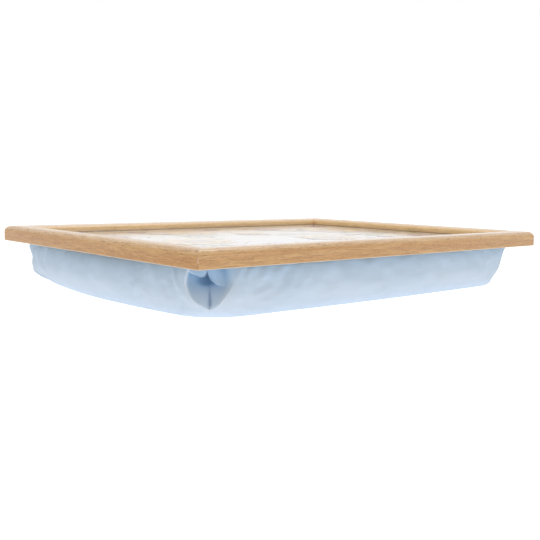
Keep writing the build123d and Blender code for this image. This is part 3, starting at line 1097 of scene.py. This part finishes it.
def pillow(name, node, corner_radius, material):
    """A closed pillow in a soft solid's own box, with flat faces, round sides and low lumps.

    Each ring is a rounded rectangle, and in section a side is two quarter ellipses.
    """
    low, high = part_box(node)
    corner, share = cushion_columns()
    corner, share = corner[::pillow_column_step], share[::pillow_column_step]
    bow = side_bows.min()
    belly_inset = half_length - high.x + bow
    middle_inset = half_width - last_ring_radius
    flat = np.linspace(0, 1, pillow_flat_rings)[1:]
    upper = np.linspace(pi / 2, 0, pillow_upper_rings)
    lower = np.linspace(0, pi / 2, pillow_lower_rings)[1:]
    top_inset = belly_inset + belly_reach
    sole_inset = belly_inset + bag_sole_draw_in
    inset = np.concatenate([
        middle_inset + (top_inset - middle_inset) * flat[:-1],
        belly_inset + belly_reach * (1 - np.cos(upper)),
        belly_inset + bag_sole_draw_in * (1 - np.cos(lower)),
        sole_inset + (middle_inset - sole_inset) * flat,
    ])
    belly = max(belly_level, low.z)
    level = np.concatenate([
        np.full(len(flat) - 1, high.z),
        belly + (high.z - belly) * np.sin(upper),
        belly + (low.z - belly) * np.sin(lower),
        np.full(len(flat), low.z),
    ])
    closing = np.concatenate([flat[:-1], np.ones(len(upper) + len(lower)), 1 - flat])
    radius = last_ring_radius + (corner_radius - last_ring_radius) * closing
    bow_share = closing * bow / side_bows.max()
    rings = tuple(values[:, None] for values in (inset, level, bow_share, radius))
    points = ring_places(rings, corner, reach_of(corner, share, rings))
    lumps = np.prod(np.sin(points * pillow_lump_turns + (1, 0, 0)), -1)
    points = points - outward(points) * (pillow_lump * (1 + lumps) * closing[:, None])[..., None]
    rows, columns = points.shape[:2]
    last = (rows - 1) * columns
    faces = grid_faces(rows, columns, True).tolist()
    top, bottom = rows * columns, rows * columns + 1
    faces += [(i, (i + 1) % columns, top) for i in range(columns)]
    faces += [(last + i, bottom, last + (i + 1) % columns) for i in range(columns)]
    down = lengths_along(points)
    around = np.linspace(0, liner_width, columns)
    cloth_places = np.stack([around + 0 * down, down], -1).reshape(-1, 2)
    cloth_places = np.concatenate([cloth_places, cloth_places[:1], cloth_places[-1:]])
    ends = points[[0, -1]].mean(1)
    points = np.concatenate([points.reshape(-1, 3), ends])
    return made_piece(name, points, faces, material, None, cloth_places)


def on_board(x, y, layer):
    """Points a hair above the board, from places in millimetres and a layer of paint."""
    level = laminate_top + first_layer_height + layer * layer_height + 0 * x
    return np.stack([x / 1000, y / 1000, level], -1)


def petal(x, y, turn, length, width, bend, layer, ripple):
    """A flat petal or leaf: its width goes as a power of a sine along it, and it bends sideways.

    Paint gathers at its rim, and lies deeper towards its foot.
    """
    rows, columns = petal_grid
    along, across = np.linspace(0.02, 0.985, rows), np.linspace(-1, 1, columns)
    along, across = np.meshgrid(along, across, indexing="ij")
    swell = np.sin(pi * along**petal_fullness) ** 0.7 * (1 + 0.08 * np.sin(7 * along + ripple))
    forward = along * length
    sideways = across * width / 2 * swell + bend * along**2
    place = on_board(
        x + forward * cos(turn) - sideways * sin(turn),
        y + forward * sin(turn) + sideways * cos(turn),
        layer + 0.02 * np.abs(across),
    )
    rim = np.maximum(np.abs(across) ** 4, np.clip(along * 5 - 4, 0, 1) ** 2)
    return place, rim, (1 - along) ** 1.6 + 0.1 * np.sin(ripple)


def drop(x, y, turn, radius, stretch, layer, ripple, detail=9, waviness=1.0):
    """A flat blot: a disc made from a square, pulled longer one way, with a wavy edge."""
    s, t = np.meshgrid(np.linspace(-1, 1, detail), np.linspace(-1, 1, detail), indexing="ij")
    u, v = s * np.sqrt(1 - t**2 / 2), t * np.sqrt(1 - s**2 / 2)
    angle = np.arctan2(v, u)
    wave = 0.10 * np.sin(3 * angle + ripple) + 0.06 * np.sin(5 * angle - 2 * ripple)
    wave = 1 + waviness * wave
    forward = u * radius * stretch * wave * (1 + 0.25 * waviness * u)
    sideways = v * radius * wave
    place = on_board(
        x + forward * cos(turn) - sideways * sin(turn),
        y + forward * sin(turn) + sideways * cos(turn),
        layer + 0 * u,
    )
    return place, np.maximum(np.abs(s), np.abs(t)) ** 5, 0.15 + 0.1 * np.sin(ripple + u)


def bent_line(start, control, end, share):
    """Places on a line that leaves its start and meets its end towards one control place."""
    start, control, end = (np.array(place, float)[:, None] for place in (start, control, end))
    return start * (1 - share) ** 2 + 2 * control * share * (1 - share) + end * share**2


def stem(start, control, end, width, layer):
    """A flat ribbon along a bent line, narrower towards its flower."""
    share = np.linspace(0, 1, stem_rows)
    x, y = bent_line(start, control, end, share)
    across = np.array((-1, -0.5, 0, 0.5, 1))
    turn = np.arctan2(np.gradient(y), np.gradient(x))
    half = width / 2 * (1.15 - 0.6 * share) * (1 + 0.15 * np.sin(share * 23))
    place = on_board(
        x[:, None] - np.sin(turn)[:, None] * half[:, None] * across,
        y[:, None] + np.cos(turn)[:, None] * half[:, None] * across,
        layer + 0 * x[:, None] * across,
    )
    even = 0 * place[..., 0]
    return place, across**4 + even, 0.35 + 0.25 * np.sin(share * 9)[:, None] + even


def printed(name, patches, material):
    """Joins flat patches of paint into one piece, each a hair above the one before it."""
    faces, points, rims, depths, count = [], [], [], [], 0
    for number, (place, rim, depth) in enumerate(patches):
        place[..., 2] += number * patch_height
        faces.append(grid_faces(*place.shape[:2], False)[:, ::-1] + count)
        points.append(place.reshape(-1, 3))
        rims.append(rim.ravel())
        depths.append((depth + 0 * rim).ravel())
        count += len(points[-1])
    points, faces = np.concatenate(points), np.concatenate(faces).tolist()
    attributes = {"rim": np.concatenate(rims), "depth": np.concatenate(depths)}
    piece = made_piece(name, points, faces, material, attributes)
    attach(piece, "root")


def bloom(random, x, y, size, kind):
    """A pale wash, over it rings of petals, each a little different, and a heart."""
    shift_x, shift_y, wash_size, wash_stretch, wash_layer = kind["wash"]
    wash = drop(
        x + shift_x, y + shift_y, random.uniform(*any_turn), size * wash_size, wash_stretch,
        wash_layer, random.uniform(*any_turn), wash_detail,
    )
    petals = []
    first = random.uniform(0, 1)
    for layer, count, share in kind["rings"]:
        for number in range(count):
            step = number + random.uniform(-kind["unevenness"], kind["unevenness"])
            turn = first + kind["ring_turn"] * layer + 2 * pi * step / count
            length = size * share * random.uniform(*kind["lengths"])
            width = size * random.uniform(*kind["widths"])
            bend = size * random.uniform(-kind["bend"], kind["bend"])
            foot = size * kind["foot"]
            petals.append(petal(
                x + foot * cos(turn), y + foot * sin(turn), turn, length, width, bend,
                layer + kind["layer_step"] * number, random.uniform(*any_turn),
            ))
    heart_size, stretch, detail, waviness = kind["heart"]
    ripple = random.uniform(*any_turn)
    heart = drop(x, y, 0.0, size * heart_size, stretch, heart_layer, ripple, detail, waviness)
    return wash, petals, heart


def painted_wildflowers():
    """Golden and violet wildflowers on two leafy sprays, with drops of paint splashed round."""
    random = np.random.default_rng(print_seed)
    golds, hearts, violets, greens, drops, orange_drops, washes = [], [], [], [], [], [], []
    for x, y, size in golden_blooms:
        wash, petals, heart = bloom(random, x, y, size, golden_bloom)
        washes.append(wash)
        golds += petals
        hearts.append(heart)
        for number in range(lash_count):
            turn = 2 * pi * number / lash_count + random.uniform(-0.1, 0.1)
            reach = size * random.uniform(*lash_reaches)
            length = size * random.uniform(*lash_lengths)
            hearts.append(petal(
                x + reach * cos(turn), y + reach * sin(turn), turn, length, size * lash_width, 0.0,
                lash_layer + 0.01 * number, number,
            ))
    for x, y, size in violet_blooms:
        wash, petals, heart = bloom(random, x, y, size, violet_bloom)
        washes.append(wash)
        violets += petals
        orange_drops.append(heart)
    for start, control, end, leaf_count in stems:
        greens.append(stem(start, control, end, stem_width, stem_layer))
        for number in range(leaf_count):
            share = np.array([(number + 0.8) / (leaf_count + 0.9)])
            (x,), (y,) = bent_line(start, control, end, share)
            (ahead_x,), (ahead_y,) = bent_line(start, control, end, share + 0.02)
            side = 1 if number % 2 else -1
            turn = np.arctan2(ahead_y - y, ahead_x - x) + side * random.uniform(*leaf_turns)
            length = random.uniform(*leaf_lengths)
            bend = -side * length * leaf_bend
            greens.append(petal(
                x, y, turn, length, length * leaf_width, bend, leaf_layer + 0.1 * number,
                random.uniform(*any_turn),
            ))
            if number % 2:
                violets.append(petal(x, y, turn - side * 1.5, *bud_shape, bud_layer, number))
    for x, y in random.uniform(*splash_corners, (splash_count, 2)):
        size = min(least_splash + random.exponential(mean_splash_growth), largest_splash)
        turn, stretch = random.uniform(*any_turn), random.uniform(*splash_stretches)
        blot = drop(x, y, turn, size, stretch, splash_layer, random.uniform(*any_turn))
        (drops, orange_drops, violets)[random.choice(3, p=splash_shares)].append(blot)
    layers = (
        ("print_pale_washes", washes, "pale_lilac_wash"),
        ("print_green_sprays", greens, "sage_green_wash"),
        ("print_violet_blooms", violets, "violet_wash"),
        ("print_golden_blooms", golds, "golden_wash"),
        ("print_golden_drops", drops, "pale_golden_wash"),
        ("print_orange_drops", orange_drops, "orange_wash"),
        ("print_dark_hearts", hearts, "aubergine_wash"),
    )
    for name, patches, paint in layers:
        printed(name, patches, watercolour(paint, *paints[paint]))


# Camera
camera_data = bpy.data.cameras.new("photograph_camera")
camera = bpy.data.objects.new("photograph_camera", camera_data)
bpy.context.scene.collection.objects.link(camera)
bpy.context.scene.camera = camera
camera_data.sensor_width = sensor_width
camera_data.lens = focal_pixels / photo_pixels * sensor_width
camera_data.clip_start = 0.01
camera_data.clip_end = 30.0
view_turn = Matrix.Rotation(-camera_yaw, 4, "Z") @ Matrix.Rotation(pi / 2 + camera_pitch, 4, "X")
camera.matrix_world = (
    Matrix.Translation(camera_place) @ view_turn @ Matrix.Rotation(camera_roll, 4, "Z")
)


def soft_lamp(name, place, width, height, power):
    """A broad area lamp that faces the middle of the tray."""
    data = bpy.data.lights.new(name, "AREA")
    data.shape = "RECTANGLE"
    data.size = width
    data.size_y = height
    data.energy = power
    lamp = bpy.data.objects.new(name, data)
    bpy.context.scene.collection.objects.link(lamp)
    lamp.location = place
    direction = Vector(lamp_target) - Vector(place)
    lamp.rotation_euler = direction.to_track_quat("-Z", "Y").to_euler()


for lamp in lamps:
    soft_lamp(*lamp)

# World: plain white where it is seen or mirrored, and dimmer as a light
world = bpy.data.worlds.new("plain_studio")
bpy.context.scene.world = world
world.use_nodes = True
tree = world.node_tree
background = tree.nodes["Background"]
background.inputs["Color"].default_value = (1, 1, 1, 1)
rays = tree.nodes.new("ShaderNodeLightPath")
seen = rays.outputs["Is Camera Ray"]
for kind in ("Is Glossy Ray", "Is Transmission Ray"):
    either = tree.nodes.new("ShaderNodeMath")
    either.operation = "MAXIMUM"
    tree.links.new(seen, either.inputs[0])
    tree.links.new(rays.outputs[kind], either.inputs[1])
    seen = either.outputs[0]
strength = tree.nodes.new("ShaderNodeMapRange")
strength.inputs["To Min"].default_value = world_light
strength.inputs["To Max"].default_value = world_seen
tree.links.new(seen, strength.inputs["Value"])
tree.links.new(strength.outputs[0], background.inputs["Strength"])

# Floor, which glows softly like a light table
floor_finish = Finish(
    "pale_floor", Roughness=0.9, Specular_IOR_Level=0.1, Emission_Color=(1, 1, 1, 1),
)
floor_point = floor_finish.object_point()
speckle = floor_finish.noise(floor_point, 0.02, detail=3)
floor_tone = floor_finish.mixed(speckle, (0.80, 0.80, 0.80, 1), (0.82, 0.82, 0.82, 1))
floor_finish.feed("Base Color", floor_tone)
seen_floor = floor_finish.node("ShaderNodeLightPath", {}, output="Is Camera Ray")
glow = floor_finish.between(seen_floor, 0.0, 1.0, floor_light, floor_seen)
floor_finish.feed("Emission Strength", glow)
floor_places = np.linspace(-floor_reach, floor_reach, floor_columns)
floor_points = np.stack(np.meshgrid(floor_places, floor_places, -floor_drop), -1)[:, :, 0]
floor_faces = grid_faces(floor_columns, floor_columns, False)[:, ::-1].tolist()
floor = made_piece("studio_floor", floor_points, floor_faces, floor_finish.material)

# Finishes of the CAD nodes
lengthwise_beech = beech("lengthwise_beech", across_axis=1, lacquer=1.0, outer_shade=0.0)
# The crosswise rails carry a painted shade on their outer sides
crosswise_beech = beech("crosswise_beech", across_axis=0, lacquer=0.6, outer_shade=0.3)
steel = zinc_steel()
node_finishes = {
    "frame_rail_front": lengthwise_beech,
    "frame_rail_back": lengthwise_beech,
    "frame_rail_left": crosswise_beech,
    "frame_rail_right": crosswise_beech,
    "mitre_v_nails": steel,
    "framers_points": steel,
    "cover_staples": steel,
    "tray_board": fibreboard(),
    "print_laminate": laminate(),
    "glue_pads": set_glue(),
    "backing_board": hardboard(),
}
for node, material in node_finishes.items():
    nodes[node].material_slots[0].material = material

# Cushion
cover_cloth = woven(
    "pale_blue_cotton", warp=colour(204, 217, 232), weft=colour(210, 222, 235),
    # The cover's painted shade tone is a deeper blue
    shade=colour(184, 202, 220), painted_shade_tone=colour(130, 166, 202), pitch=0.0005, slub=0.25,
    Roughness=0.85, Sheen_Weight=0.12, Sheen_Roughness=0.4,
)
cover = cushion_cover(cover_cloth)
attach(cover, "root")
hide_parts("cushion_cover")

# Bead bag and the beads in it
bag_cloth = woven(
    "unbleached_liner", warp=colour(232, 228, 218), weft=colour(238, 235, 227),
    shade=colour(212, 206, 192), painted_shade_tone=colour(200, 192, 176), pitch=0.0008, slub=0.5,
    Roughness=0.9,
)
bag = pillow("bead_bag_cloth", "bead_bag", bag_corner_radius, bag_cloth)
beads = pillow("bead_fill_heap", "bead_fill", bag_corner_radius, bead_pack())
for piece, node, slot in ((bag, "bead_bag", "bag_cloth"), (beads, "bead_fill", "beads")):
    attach(piece, "root")
    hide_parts(node)

painted_wildflowers()

bpy.context.scene.view_settings.view_transform = "Standard"
